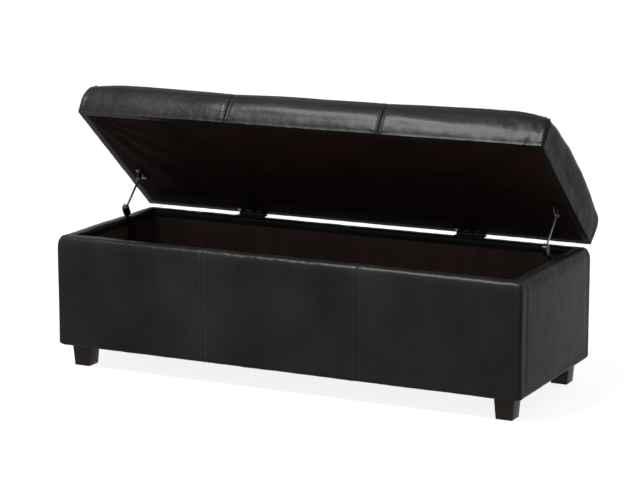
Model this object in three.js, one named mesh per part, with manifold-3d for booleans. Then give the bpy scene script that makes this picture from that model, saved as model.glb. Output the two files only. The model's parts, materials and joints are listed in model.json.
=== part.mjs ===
// Upholstered storage bench: a padded box on four tapered feet, with a padded lid that is
// hinged at the back and carried by a two-link stay at each end. The lid stands open.
// Millimetres, +X along the bench, +Y to the back, +Z up, origin on the floor below the
// middle of the whole bench.
import * as THREE from 'three';
import { mergeVertices } from 'three/addons/utils/BufferGeometryUtils.js';
import Module from 'manifold-3d';

const wasm = await Module();
wasm.setup();

// ---------------------------------------------------------------- driving dimensions
const BENCH_WIDTH = 1219; // outside of the box, left to right
const BENCH_DEPTH = 451; // outside of the box, front to back
const RIM_HEIGHT = 329; // floor to the top of the padded rim
const LEG_HEIGHT = 59.5; // floor to the underside of the box
const PANEL_COUNT = 3; // sewn leather panels along the front, the back and the lid

const TOUCH = 0.3; // gap between pieces that touch
const LEATHER = 1.5;
const FOAM = 12; // padding on the outside of each wall
const BOARD = 18; // wall boards
const LINING = 1.2; // cloth inside the storage well
const RIM_RADIUS = 12.5; // outer top edge of the padded wall
const WELL_EDGE_RADIUS = 6; // inner top edge of the boards
const HEM_RADIUS = 8; // outer bottom edge of the padded wall
const UNDER_WRAP = 23; // leather turned under the box
const WELL_FLAP = 20; // leather turned down into the well

const FLOOR_BOARD = 12;
const BASE_RAIL_HEIGHT = 28;
const BASE_RAIL_WIDTH = 40;
const CORNER_BLOCK = 76;
const DUST_COVER = 1;

const LEG_INSET = 27.6; // from the box's side to the foot's side, at the floor
const LEG_FOOT = 41.6;
const LEG_TOP = 50;
const BOLT_RADIUS = 4;
const BOLT_LENGTH = 56;
const BOLT_IN_LEG = 32;
const BOLT_CLEARANCE = 0.3;

const HINGE_SPACING = 604; // between the middles of the two hinges
const HINGE_WIDTH = 78;
const HINGE_LEAF = 1.5;
const HINGE_REACH = 24; // from the pin to the free edge of a leaf
const KNUCKLE_RADIUS = 3.1;
const KNUCKLE_COUNT = 5;
const KNUCKLE_GAP = 0.3;
const HINGE_PIN_RADIUS = 1.6;
const HINGE_PIN_CLEARANCE = 0.3;
const HINGE_SETBACK = 2.4; // pin in front of the box's back
const LEAF_SCREW_FROM_PIN = 15;
const LEAF_SCREW_RADIUS = 3.4;
const LEAF_SCREW_PROUD = 0.5;
const LEAF_SCREWS = 3;

const LID_OPEN = THREE.MathUtils.degToRad(40);
const LID_THICKNESS = 90; // at the edges, crown left out
const LID_OVERHANG = 1.5; // lid beyond the box at each end
const LID_SETBACK = 2.5; // lid's front edge behind the box's front when closed
const LID_BEHIND_PIN = 1;
const LID_CROWN = 7.5; // rise of each lid panel between its seams
const LID_DOME = 9.5; // rise of the lid from its front and back edges to the middle
const LID_TOP_RADIUS = 19;
const LID_BOTTOM_RADIUS = 6;
const LID_WRAP = 14; // leather turned under the lid's edge
const LID_LINING = 1;
const LID_RAIL_HEIGHT = 20;
const LID_RAIL_WIDTH = 80;
const LID_CROSS_RAIL = 60;
const LID_DECK = 6;

const STAY_LINK_LENGTH = 81.84;
const STAY_ARM_LENGTH = 92.79;
const STAY_FOOT_BACK = 152; // link pivot in front of the hinge pin
const STAY_FOOT_DOWN = 48; // link pivot below the hinge pin
const STAY_LID_REACH = 151; // arm pivot from the hinge pin, along the lid
const STAY_LID_DROP = 9; // arm pivot below the hinge pin, across the lid
const STAY_STEEL = 2; // base plate, link and bracket
const STAY_LINK_WIDTH = 12;
const STAY_LINK_FOOT_RADIUS = 8;
const STAY_HOUSING_DEPTH = 11; // elbow housing, outside of one cheek to outside of the other
const STAY_HOUSING_BELOW = 20; // its reach from the elbow towards the foot
const STAY_HOUSING_ABOVE = 9;
const STAY_HOUSING_FRONT = 10.6; // from the elbow to the outside of its web
const STAY_HOUSING_RADIUS = 7;
const STAY_HOUSING_LIP = 1; // its upper and lower walls end this far behind the elbow
const STAY_ARM_STEEL = 2.5;
const STAY_ARM_WIDTH = 6.5;
const STAY_ARM_LID_RADIUS = 6;
const STAY_ARM_ELBOW_RADIUS = 4.8;
const RIVET_RADIUS = 2.5;
const RIVET_HEAD_RADIUS = 4.5;
const RIVET_HEAD = 1.4;
const STAY_PIN_RADIUS = 4;
const STAY_PIN_HEAD_RADIUS = 6;
const PIVOT_CLEARANCE = 0.3;
const BASE_PLATE_WIDTH = 38;
const BASE_PLATE_BELOW = 30; // from the link pivot down
const BASE_PLATE_ABOVE = 22;
const BRACKET_LENGTH = 46;
const BRACKET_WIDTH = 16;
const BRACKET_AHEAD = 4.6; // middle of the bracket in front of its pivot
const BRACKET_SCREW_PITCH = 30;
const BRACKET_SCREW_INSET = 6.4; // from the lug to the screws
const STAY_SCREW_RADIUS = 3.2;
const STAY_SCREW_HEAD = 1.2;

const ARC_STEPS = 5;
const ROUND_STEPS = 20;

// ---------------------------------------------------------------- places worked out from them
const halfWidth = BENCH_WIDTH / 2;
const halfDepth = BENCH_DEPTH / 2;
const foamFace = LEATHER + TOUCH;
const boardFace = foamFace + FOAM + TOUCH;
const wellFace = boardFace + BOARD + TOUCH;
const wallThickness = wellFace + LEATHER;
const boardTop = RIM_HEIGHT - LEATHER - TOUCH;
const baseBottom = LEG_HEIGHT + LEATHER + TOUCH;
const floorBottom = baseBottom + BASE_RAIL_HEIGHT + TOUCH;
const floorTop = floorBottom + FLOOR_BOARD;
const wallBottom = floorTop + TOUCH;
const panelWidth = BENCH_WIDTH / PANEL_COUNT;

const hingeY = halfDepth - HINGE_SETBACK;
const hingeZ = RIM_HEIGHT + TOUCH + KNUCKLE_RADIUS;
const lidUnder = KNUCKLE_RADIUS + TOUCH; // lid's underside above the pin, lid closed
const lidHalfWidth = halfWidth + LID_OVERHANG;
const lidFront = -(hingeY + halfDepth - LID_SETBACK);
const lidTop = lidUnder + LID_THICKNESS;
const lidInset = LEATHER + TOUCH;
const lidRailBottom = lidUnder + lidInset;
const lidRailTop = lidRailBottom + LID_RAIL_HEIGHT;
const lidDeckBottom = lidRailTop + TOUCH;
const lidFoamBottom = lidDeckBottom + LID_DECK + TOUCH;

// ---------------------------------------------------------------- materials
const finish = (color, roughness, metalness = 0) =>
  new THREE.MeshStandardMaterial({ color, roughness, metalness });
const leather = finish(0x2b2928, 0.42);
const cloth = finish(0x17120f, 0.95);
const foam = finish(0xd8cfa8, 0.98);
const timber = finish(0xa98a5c, 0.8);
const plywood = finish(0xb99f73, 0.78);
const darkWood = finish(0x1d1512, 0.45);
const bronze = finish(0x2c241f, 0.4, 0.85);
const zinc = finish(0x9a9a96, 0.35, 0.9);
const steel = finish(0x55504b, 0.35, 0.9);

// ---------------------------------------------------------------- solids
function solidOf(geometry) {
  const bare = geometry.clone();
  bare.deleteAttribute('normal');
  bare.deleteAttribute('uv');
  const merged = mergeVertices(bare, 1e-4);
  return new wasm.Manifold(new wasm.Mesh({
    numProp: 3,
    vertProperties: new Float32Array(merged.attributes.position.array),
    triVerts: new Uint32Array(merged.index.array),
  }));
}

function geometryOf(solid) {
  const { vertProperties, triVerts } = solid.getMesh();
  const geometry = new THREE.BufferGeometry();
  geometry.setAttribute('position', new THREE.BufferAttribute(vertProperties, 3));
  geometry.setIndex(new THREE.BufferAttribute(triVerts, 1));
  geometry.computeVertexNormals();
  return geometry;
}

function block([x0, x1], [y0, y1], [z0, z1]) {
  const geometry = new THREE.BoxGeometry(x1 - x0, y1 - y0, z1 - z0);
  geometry.translate((x0 + x1) / 2, (y0 + y1) / 2, (z0 + z1) / 2);
  return solidOf(geometry);
}

// An outline extruded between two stations; its own x, y and depth run along the three given axes.
function extruded(outline, xAxis, yAxis, from, to, origin = new THREE.Vector3()) {
  const options = { depth: to - from, bevelEnabled: false, curveSegments: ARC_STEPS };
  const geometry = new THREE.ExtrudeGeometry(outline, options);
  geometry.translate(0, 0, from);
  const depthAxis = new THREE.Vector3().crossVectors(xAxis, yAxis);
  const place = new THREE.Matrix4().makeBasis(xAxis, yAxis, depthAxis).setPosition(origin);
  return solidOf(geometry.applyMatrix4(place));
}

function rod(radius, from, to) {
  const geometry = new THREE.CylinderGeometry(radius, radius, from.distanceTo(to), ROUND_STEPS);
  const along = new THREE.Vector3().subVectors(to, from).normalize();
  geometry.applyQuaternion(new THREE.Quaternion().setFromUnitVectors(new THREE.Vector3(0, 1, 0), along));
  const middle = new THREE.Vector3().addVectors(from, to).multiplyScalar(0.5);
  return solidOf(geometry.translate(middle.x, middle.y, middle.z));
}

const X = new THREE.Vector3(1, 0, 0);
const Y = new THREE.Vector3(0, 1, 0);
const Z = new THREE.Vector3(0, 0, 1);

const bench = new THREE.Group();

function addPiece(name, solid, material, parent = bench) {
  const mesh = new THREE.Mesh(geometryOf(solid), material);
  mesh.name = name;
  parent.add(mesh);
  return mesh;
}

// ---------------------------------------------------------------- box walls
// A wall is drawn as its cross-section, with depth measured inwards from the outer face, and
// is mitred into its neighbours at 45 degrees.
const walls = {
  front: { corner: [-halfWidth, -halfDepth], inward: [0, 1], length: BENCH_WIDTH },
  right: { corner: [halfWidth, -halfDepth], inward: [-1, 0], length: BENCH_DEPTH },
  back: { corner: [halfWidth, halfDepth], inward: [0, -1], length: BENCH_WIDTH },
  left: { corner: [-halfWidth, halfDepth], inward: [1, 0], length: BENCH_DEPTH },
};

function crossSection([d0, d1], [z0, z1], outerTop = 0, innerTop = 0, outerBottom = 0) {
  const outline = new THREE.Shape();
  outline.moveTo(d0 + outerBottom, z0);
  outline.lineTo(d1, z0);
  outline.lineTo(d1, z1 - innerTop);
  if (innerTop > 0) outline.absarc(d1 - innerTop, z1 - innerTop, innerTop, 0, Math.PI / 2);
  outline.lineTo(d0 + outerTop, z1);
  if (outerTop > 0) outline.absarc(d0 + outerTop, z1 - outerTop, outerTop, Math.PI / 2, Math.PI);
  outline.lineTo(d0, z0 + outerBottom);
  if (outerBottom > 0) {
    outline.absarc(d0 + outerBottom, z0 + outerBottom, outerBottom, Math.PI, Math.PI * 1.5);
  }
  return outline;
}

function alongWall(wall, outline) {
  const inward = new THREE.Vector3(...wall.inward, 0);
  return extruded(outline, inward, Z, 0, wall.length, new THREE.Vector3(...wall.corner, 0));
}

function mitre(wall) {
  const margin = 1;
  const gap = TOUCH * Math.SQRT1_2;
  const inner = wallThickness + margin;
  const outline = new THREE.Shape([
    new THREE.Vector2(gap - margin, -margin),
    new THREE.Vector2(wall.length + margin - gap, -margin),
    new THREE.Vector2(wall.length - inner - gap, inner),
    new THREE.Vector2(inner + gap, inner),
  ]);
  const inward = new THREE.Vector3(...wall.inward, 0);
  const along = new THREE.Vector3().crossVectors(inward, Z);
  return extruded(outline, along, inward, 0, RIM_HEIGHT + margin, new THREE.Vector3(...wall.corner, 0));
}

function wallCover(wall) {
  const skin = alongWall(wall, crossSection([0, wallThickness], [LEG_HEIGHT, RIM_HEIGHT],
    RIM_RADIUS, WELL_EDGE_RADIUS + TOUCH + LEATHER, HEM_RADIUS));
  const filling = alongWall(wall, crossSection([LEATHER, wallThickness - LEATHER],
    [LEG_HEIGHT + LEATHER, RIM_HEIGHT - LEATHER],
    RIM_RADIUS - LEATHER, WELL_EDGE_RADIUS + TOUCH, HEM_RADIUS - LEATHER));
  const opening = alongWall(wall, crossSection([UNDER_WRAP, wallThickness + 1], [0, RIM_HEIGHT - WELL_FLAP]));
  return skin.subtract(filling).subtract(opening).intersect(mitre(wall));
}

function wallFoam(wall) {
  const outline = crossSection([foamFace, foamFace + FOAM], [baseBottom, boardTop],
    RIM_RADIUS - foamFace, 0, HEM_RADIUS - foamFace);
  return alongWall(wall, outline).intersect(mitre(wall));
}

function panelRange(index) {
  const low = index === 0 ? -halfWidth - 1 : -halfWidth + index * panelWidth + TOUCH / 2;
  const last = index === PANEL_COUNT - 1;
  const high = last ? halfWidth + 1 : -halfWidth + (index + 1) * panelWidth - TOUCH / 2;
  return [low, high];
}

const panelNames = ['left', 'middle', 'right'];
const everywhere = [-2000, 2000];

for (const [side, wall] of Object.entries(walls)) {
  addPiece(`${side}_wall_foam`, wallFoam(wall), foam);
}
panelNames.forEach((name, index) => {
  const panel = block(panelRange(index), everywhere, everywhere);
  addPiece(`front_cover_${name}_panel`, wallCover(walls.front).intersect(panel), leather);
});
for (const side of ['right', 'back', 'left']) {
  addPiece(`${side}_cover`, wallCover(walls[side]), leather);
}

// The front and back boards run the full width and the side boards stand between them.
function wallBoard(wall, from, to) {
  const outline = crossSection([boardFace, boardFace + BOARD], [wallBottom, boardTop], 0, WELL_EDGE_RADIUS);
  const stretch = new THREE.Shape([
    new THREE.Vector2(from, 0), new THREE.Vector2(wall.length - to, 0),
    new THREE.Vector2(wall.length - to, wallThickness), new THREE.Vector2(from, wallThickness),
  ]);
  const inward = new THREE.Vector3(...wall.inward, 0);
  const along = new THREE.Vector3().crossVectors(inward, Z);
  const cut = extruded(stretch, along, inward, 0, RIM_HEIGHT, new THREE.Vector3(...wall.corner, 0));
  return alongWall(wall, outline).intersect(cut);
}
for (const side of ['front', 'back']) {
  addPiece(`${side}_board`, wallBoard(walls[side], boardFace, boardFace), timber);
}
for (const side of ['left', 'right']) {
  const end = boardFace + BOARD + TOUCH;
  addPiece(`${side}_board`, wallBoard(walls[side], end, end), timber);
}

// ---------------------------------------------------------------- floor, base frame and feet
const coreX = halfWidth - boardFace;
const coreY = halfDepth - boardFace;
addPiece('floor_board', block([-coreX, coreX], [-coreY, coreY], [floorBottom, floorTop]), plywood);

const baseZ = [baseBottom, baseBottom + BASE_RAIL_HEIGHT];
const railEndX = coreX - CORNER_BLOCK - TOUCH;
const railEndY = coreY - CORNER_BLOCK - TOUCH;
addPiece('front_base_rail', block([-railEndX, railEndX], [-coreY, -coreY + BASE_RAIL_WIDTH], baseZ), timber);
addPiece('back_base_rail', block([-railEndX, railEndX], [coreY - BASE_RAIL_WIDTH, coreY], baseZ), timber);
addPiece('left_base_rail', block([-coreX, -coreX + BASE_RAIL_WIDTH], [-railEndY, railEndY], baseZ), timber);
addPiece('right_base_rail', block([coreX - BASE_RAIL_WIDTH, coreX], [-railEndY, railEndY], baseZ), timber);

const legX = halfWidth - LEG_INSET - LEG_FOOT / 2;
const legY = halfDepth - LEG_INSET - LEG_FOOT / 2;
const legTop = LEG_HEIGHT - TOUCH;
const boltBottom = legTop - BOLT_IN_LEG;
const span = (a, b) => (a < b ? [a, b] : [b, a]);
const boltHole = (x, y, extra) => rod(BOLT_RADIUS + BOLT_CLEARANCE,
  new THREE.Vector3(x, y, boltBottom - extra), new THREE.Vector3(x, y, boltBottom + BOLT_LENGTH + extra));

let dustCover = block([-halfWidth + UNDER_WRAP + TOUCH, halfWidth - UNDER_WRAP - TOUCH],
  [-halfDepth + UNDER_WRAP + TOUCH, halfDepth - UNDER_WRAP - TOUCH],
  [LEG_HEIGHT, LEG_HEIGHT + DUST_COVER]);
for (const [endName, endSide] of [['front', -1], ['back', 1]]) {
  for (const [sideName, side] of [['left', -1], ['right', 1]]) {
    const x = side * legX;
    const y = endSide * legY;
    const cornerX = span(side * coreX, side * (coreX - CORNER_BLOCK));
    const cornerY = span(endSide * coreY, endSide * (coreY - CORNER_BLOCK));
    const hole = boltHole(x, y, BOLT_CLEARANCE);
    dustCover = dustCover.subtract(boltHole(x, y, BOLT_CLEARANCE));
    addPiece(`${endName}_${sideName}_corner_block`, block(cornerX, cornerY, baseZ).subtract(hole), timber);

    const foot = new THREE.CylinderGeometry(LEG_TOP * Math.SQRT1_2, LEG_FOOT * Math.SQRT1_2, legTop, 4);
    foot.rotateY(Math.PI / 4).rotateX(Math.PI / 2).translate(x, y, legTop / 2);
    addPiece(`${endName}_${sideName}_leg`, solidOf(foot).subtract(hole), darkWood);
    const bolt = rod(BOLT_RADIUS,
      new THREE.Vector3(x, y, boltBottom), new THREE.Vector3(x, y, boltBottom + BOLT_LENGTH));
    addPiece(`${endName}_${sideName}_leg_bolt`, bolt, zinc);
  }
}
addPiece('dust_cover', dustCover, cloth);

// ---------------------------------------------------------------- storage well lining
const liningTop = RIM_HEIGHT - WELL_FLAP - TOUCH;
const liningX = halfWidth - wellFace;
const liningY = halfDepth - wellFace;
const liningBag = block([-liningX, liningX], [-liningY, liningY], [floorTop + TOUCH, liningTop]);
const liningRoom = block([-liningX + LINING, liningX - LINING], [-liningY + LINING, liningY - LINING],
  [floorTop + TOUCH + LINING, RIM_HEIGHT]);
addPiece('well_lining', liningBag.subtract(liningRoom), cloth);

// ---------------------------------------------------------------- lid
// Drawn closed, with y and z measured from the hinge pin, then swung open.
const lid = new THREE.Group();
lid.position.set(0, hingeY, hingeZ);
lid.rotation.x = -LID_OPEN;
bench.add(lid);

// Across the lid: round edges and a low dome from front to back.
function lidDepthOutline(inset) {
  const front = lidFront + inset;
  const back = LID_BEHIND_PIN - inset;
  const under = lidUnder + inset;
  const top = lidTop - inset;
  const topRadius = LID_TOP_RADIUS - inset;
  const underRadius = LID_BOTTOM_RADIUS - inset;
  const middle = (front + back) / 2;
  const outline = new THREE.Shape();
  outline.moveTo(front + underRadius, under);
  outline.lineTo(back - underRadius, under);
  outline.absarc(back - underRadius, under + underRadius, underRadius, Math.PI * 1.5, Math.PI * 2);
  outline.lineTo(back, top - topRadius);
  outline.absarc(back - topRadius, top - topRadius, topRadius, 0, Math.PI / 2);
  outline.quadraticCurveTo(middle, top + 2 * LID_DOME, front + topRadius, top);
  outline.absarc(front + topRadius, top - topRadius, topRadius, Math.PI / 2, Math.PI);
  outline.lineTo(front, under + underRadius);
  outline.absarc(front + underRadius, under + underRadius, underRadius, Math.PI, Math.PI * 1.5);
  return outline;
}

// Along the lid: round ends and one low crown for each sewn panel.
function lidWidthOutline(inset) {
  const end = lidHalfWidth - inset;
  const under = lidUnder + inset;
  const top = lidTop + LID_DOME - inset;
  const topRadius = LID_TOP_RADIUS - inset;
  const underRadius = LID_BOTTOM_RADIUS - inset;
  const outline = new THREE.Shape();
  outline.moveTo(-end + underRadius, under);
  outline.lineTo(end - underRadius, under);
  outline.absarc(end - underRadius, under + underRadius, underRadius, Math.PI * 1.5, Math.PI * 2);
  outline.lineTo(end, top - topRadius);
  outline.absarc(end - topRadius, top - topRadius, topRadius, 0, Math.PI / 2);
  let from = end - topRadius;
  for (let panel = PANEL_COUNT - 1; panel >= 0; panel -= 1) {
    const to = panel === 0 ? -end + topRadius : -halfWidth + panel * panelWidth;
    outline.quadraticCurveTo((from + to) / 2, top + 2 * LID_CROWN, to, top);
    from = to;
  }
  outline.absarc(-end + topRadius, top - topRadius, topRadius, Math.PI / 2, Math.PI);
  outline.lineTo(-end, under + underRadius);
  outline.absarc(-end + underRadius, under + underRadius, underRadius, Math.PI, Math.PI * 1.5);
  return outline;
}

function lidBody(inset) {
  const along = extruded(lidDepthOutline(inset), Y, Z, -lidHalfWidth - 1, lidHalfWidth + 1);
  const across = extruded(lidWidthOutline(inset), X, Z, -LID_BEHIND_PIN - 1, -lidFront + 1);
  return along.intersect(across);
}

const lidOutside = lidBody(0);
const lidInside = lidBody(LEATHER);
const lidFilling = lidBody(lidInset);
const lidOpening = block([-lidHalfWidth + LID_WRAP, lidHalfWidth - LID_WRAP],
  [lidFront + LID_WRAP, LID_BEHIND_PIN - LID_WRAP], [0, lidUnder + LEATHER + 1]);
const lidCover = lidOutside.subtract(lidInside).subtract(lidOpening);
panelNames.forEach((name, index) => {
  const [low, high] = panelRange(index);
  const first = index === 0, last = index === PANEL_COUNT - 1;
  const reach = [low - (first ? LID_OVERHANG : 0), high + (last ? LID_OVERHANG : 0)];
  addPiece(`lid_cover_${name}_panel`, lidCover.intersect(block(reach, everywhere, everywhere)), leather, lid);
});

const lidLayer = (z0, z1) => block(everywhere, everywhere, [z0, z1]);
const lidEndX = lidHalfWidth - lidInset;
const railFrontY = lidFront + lidInset;
const railBackY = LID_BEHIND_PIN - lidInset;
const railInnerX = lidEndX - LID_RAIL_WIDTH;
const railZ = [lidRailBottom, lidRailTop];
addPiece('lid_foam', lidFilling.intersect(lidLayer(lidFoamBottom, lidTop * 2)), foam, lid);
addPiece('lid_deck', lidFilling.intersect(lidLayer(lidDeckBottom, lidDeckBottom + LID_DECK)), plywood, lid);
const lidRail = (x, y) => lidFilling.intersect(block(x, y, railZ));
for (const [name, depth] of [['front', [railFrontY, railFrontY + LID_RAIL_WIDTH]],
  ['back', [railBackY - LID_RAIL_WIDTH, railBackY]]]) {
  addPiece(`lid_${name}_rail`, lidRail([-lidEndX, lidEndX], depth), timber, lid);
}
const railBetween = [railFrontY + LID_RAIL_WIDTH + TOUCH, railBackY - LID_RAIL_WIDTH - TOUCH];
for (const [name, side] of [['left', -1], ['right', 1]]) {
  addPiece(`lid_${name}_rail`, lidRail(span(side * lidEndX, side * railInnerX), railBetween), timber, lid);
  const cross = side * panelWidth / 2;
  const crossX = [cross - LID_CROSS_RAIL / 2, cross + LID_CROSS_RAIL / 2];
  addPiece(`lid_${name}_cross_rail`, lidRail(crossX, railBetween), timber, lid);
}
const lidLiningTop = lidRailBottom - TOUCH;
const lidLining = block([-lidHalfWidth + LID_WRAP + TOUCH, lidHalfWidth - LID_WRAP - TOUCH],
  [lidFront + LID_WRAP + TOUCH, LID_BEHIND_PIN - LID_WRAP - TOUCH],
  [lidLiningTop - LID_LINING, lidLiningTop]);
addPiece('lid_lining', lidLining, cloth, lid);

// ---------------------------------------------------------------- butt hinges
// The box leaf lies on the rim and the lid leaf under the lid; the knuckles alternate.
const knucklePitch = HINGE_WIDTH / KNUCKLE_COUNT;
const pinEnd = (x, y = 0, z = 0) => new THREE.Vector3(x, y, z);

function hingeLeaf(middle, first, leafZ, screwSide) {
  const left = middle - HINGE_WIDTH / 2;
  const right = middle + HINGE_WIDTH / 2;
  let leaf = block([left, right], [-HINGE_REACH, 0], leafZ);
  for (let index = 0; index < KNUCKLE_COUNT; index += 1) {
    const from = left + index * knucklePitch;
    const to = from + knucklePitch;
    if (index % 2 === first) {
      const x0 = index === 0 ? from : from + KNUCKLE_GAP / 2;
      const x1 = index === KNUCKLE_COUNT - 1 ? to : to - KNUCKLE_GAP / 2;
      leaf = leaf.add(rod(KNUCKLE_RADIUS, pinEnd(x0), pinEnd(x1)));
    }
  }
  for (let index = 0; index < KNUCKLE_COUNT; index += 1) {
    if (index % 2 === first) continue;
    const from = left + index * knucklePitch - KNUCKLE_GAP / 2;
    const room = KNUCKLE_RADIUS + 2 * KNUCKLE_GAP;
    leaf = leaf.subtract(block([from, from + knucklePitch + KNUCKLE_GAP], [-room, room], [-room, room]));
  }
  for (let index = 0; index < LEAF_SCREWS; index += 1) {
    const x = left + (index + 0.5) * (HINGE_WIDTH / LEAF_SCREWS);
    const y = -LEAF_SCREW_FROM_PIN;
    const face = screwSide > 0 ? leafZ[1] : leafZ[0];
    const from = pinEnd(x, y, face - screwSide * HINGE_LEAF / 2);
    leaf = leaf.add(rod(LEAF_SCREW_RADIUS, from, pinEnd(x, y, face + screwSide * LEAF_SCREW_PROUD)));
  }
  const bore = HINGE_PIN_RADIUS + HINGE_PIN_CLEARANCE;
  return leaf.subtract(rod(bore, pinEnd(left - 1), pinEnd(right + 1)));
}

for (const [name, side] of [['left', -1], ['right', 1]]) {
  const middle = side * HINGE_SPACING / 2;
  const boxLeaf = hingeLeaf(middle, 0, [-KNUCKLE_RADIUS, -KNUCKLE_RADIUS + HINGE_LEAF], 1);
  addPiece(`${name}_hinge_box_leaf`, boxLeaf, bronze).position.set(0, hingeY, hingeZ);
  const pin = rod(HINGE_PIN_RADIUS, pinEnd(middle - HINGE_WIDTH / 2), pinEnd(middle + HINGE_WIDTH / 2));
  addPiece(`${name}_hinge_pin`, pin, bronze).position.set(0, hingeY, hingeZ);
  const lidLeaf = hingeLeaf(middle, 1, [KNUCKLE_RADIUS - HINGE_LEAF, KNUCKLE_RADIUS], -1);
  addPiece(`${name}_hinge_lid_leaf`, lidLeaf, bronze, lid);
}

// ---------------------------------------------------------------- lid stays
// Each stay is a flat link that stands on a plate inside the end wall, and a thin arm from the
// link's elbow to a bracket under the lid. The elbow is a pressed housing, open at the back,
// and its place follows from the two lengths.
const footY = hingeY - STAY_FOOT_BACK;
const footZ = hingeZ - STAY_FOOT_DOWN;
const lidPivot = new THREE.Vector3(0, -STAY_LID_REACH, -STAY_LID_DROP).applyAxisAngle(X, -LID_OPEN);
lidPivot.add(new THREE.Vector3(0, hingeY, hingeZ));
const spanY = lidPivot.y - footY;
const spanZ = lidPivot.z - footZ;
const pivotSpan = Math.hypot(spanY, spanZ);
const footCosine = (STAY_LINK_LENGTH ** 2 + pivotSpan ** 2 - STAY_ARM_LENGTH ** 2)
  / (2 * STAY_LINK_LENGTH * pivotSpan);
const linkAngle = Math.atan2(spanZ, spanY) + Math.acos(footCosine);
const elbowY = footY + STAY_LINK_LENGTH * Math.cos(linkAngle);
const elbowZ = footZ + STAY_LINK_LENGTH * Math.sin(linkAngle);
const armAngle = Math.atan2(elbowZ - lidPivot.z, elbowY - lidPivot.y);

// Stations across the stay, measured from the bench's middle towards the end wall.
const wellWallX = halfWidth - wellFace - LINING;
const plateX = [wellWallX - TOUCH - STAY_STEEL, wellWallX - TOUCH];
const linkX = [plateX[0] - TOUCH * 2 - STAY_STEEL, plateX[0] - TOUCH * 2];
const housingX = [linkX[1] - STAY_HOUSING_DEPTH, linkX[1]];
const armMiddle = (housingX[0] + housingX[1]) / 2;
const armX = [armMiddle - STAY_ARM_STEEL / 2, armMiddle + STAY_ARM_STEEL / 2];
const lugX = [armX[1] + TOUCH, armX[1] + TOUCH + STAY_STEEL];

function taperedLink(length, nearRadius, farRadius) {
  const lean = Math.asin((nearRadius - farRadius) / length);
  const outline = new THREE.Shape();
  outline.absarc(0, 0, nearRadius, Math.PI / 2 - lean, Math.PI * 1.5 + lean);
  outline.absarc(length, 0, farRadius, -Math.PI / 2 + lean, Math.PI / 2 - lean);
  outline.closePath();
  return outline;
}

// The elbow housing seen along the pins: its outside, and the room inside its bent sheet.
function housingOutline(inset) {
  const low = STAY_LINK_LENGTH - STAY_HOUSING_BELOW + inset;
  const high = STAY_LINK_LENGTH + STAY_HOUSING_ABOVE - inset;
  const front = STAY_HOUSING_FRONT - inset;
  const back = -STAY_LINK_WIDTH / 2;
  const radius = STAY_HOUSING_RADIUS - inset;
  const outline = new THREE.Shape();
  outline.moveTo(low, back);
  outline.lineTo(high, back);
  outline.absarc(high - radius, front - radius, radius, 0, Math.PI / 2);
  outline.absarc(low + radius, front - radius, radius, Math.PI / 2, Math.PI);
  outline.closePath();
  return outline;
}

function acrossStay(outline, side, stations) {
  const [from, to] = span(side * stations[0], side * stations[1]);
  return extruded(outline, Y, Z, from, to);
}

const stayRod = (radius, side, stations, y = 0, z = 0) =>
  rod(radius, new THREE.Vector3(side * stations[0], y, z), new THREE.Vector3(side * stations[1], y, z));

function stayLink(side) {
  const barOutline = taperedLink(STAY_LINK_LENGTH, STAY_LINK_FOOT_RADIUS, STAY_LINK_WIDTH / 2);
  const bar = acrossStay(barOutline, side, linkX);
  const roomX = span(side * (housingX[0] + STAY_STEEL), side * linkX[0]);
  const room = acrossStay(housingOutline(STAY_STEEL), side, [housingX[0] + STAY_STEEL, linkX[0]]);
  const throat = block(roomX, [0, STAY_LINK_LENGTH + STAY_HOUSING_ABOVE + 1],
    [-STAY_LINK_WIDTH, -STAY_HOUSING_LIP]);
  let link = acrossStay(housingOutline(0), side, housingX).subtract(room).subtract(throat).add(bar);
  for (const cheek of [[housingX[0] - RIVET_HEAD, housingX[0] + STAY_STEEL / 2],
    [linkX[1] - STAY_STEEL / 2, linkX[1] + RIVET_HEAD]]) {
    link = link.add(stayRod(RIVET_HEAD_RADIUS, side, cheek, STAY_LINK_LENGTH));
  }
  return link.subtract(stayRod(STAY_PIN_RADIUS + PIVOT_CLEARANCE, side, [linkX[0] - 1, linkX[1] + 1]));
}

function stayArm(side) {
  const eye = (along, radius) => {
    const outline = new THREE.Shape();
    outline.absarc(along, 0, radius, 0, Math.PI * 2);
    return acrossStay(outline, side, armX);
  };
  const strap = block(span(side * armX[0], side * armX[1]), [0, STAY_ARM_LENGTH],
    [-STAY_ARM_WIDTH / 2, STAY_ARM_WIDTH / 2]);
  const outerHead = [lugX[1] + TOUCH, lugX[1] + TOUCH + RIVET_HEAD];
  return strap.add(eye(0, STAY_ARM_LID_RADIUS)).add(eye(STAY_ARM_LENGTH, STAY_ARM_ELBOW_RADIUS))
    .add(stayRod(RIVET_HEAD_RADIUS, side, [armX[0] - RIVET_HEAD, armMiddle]))
    .add(stayRod(RIVET_RADIUS, side, [armMiddle, outerHead[0] + RIVET_HEAD / 2]))
    .add(stayRod(RIVET_HEAD_RADIUS, side, outerHead));
}

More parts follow.
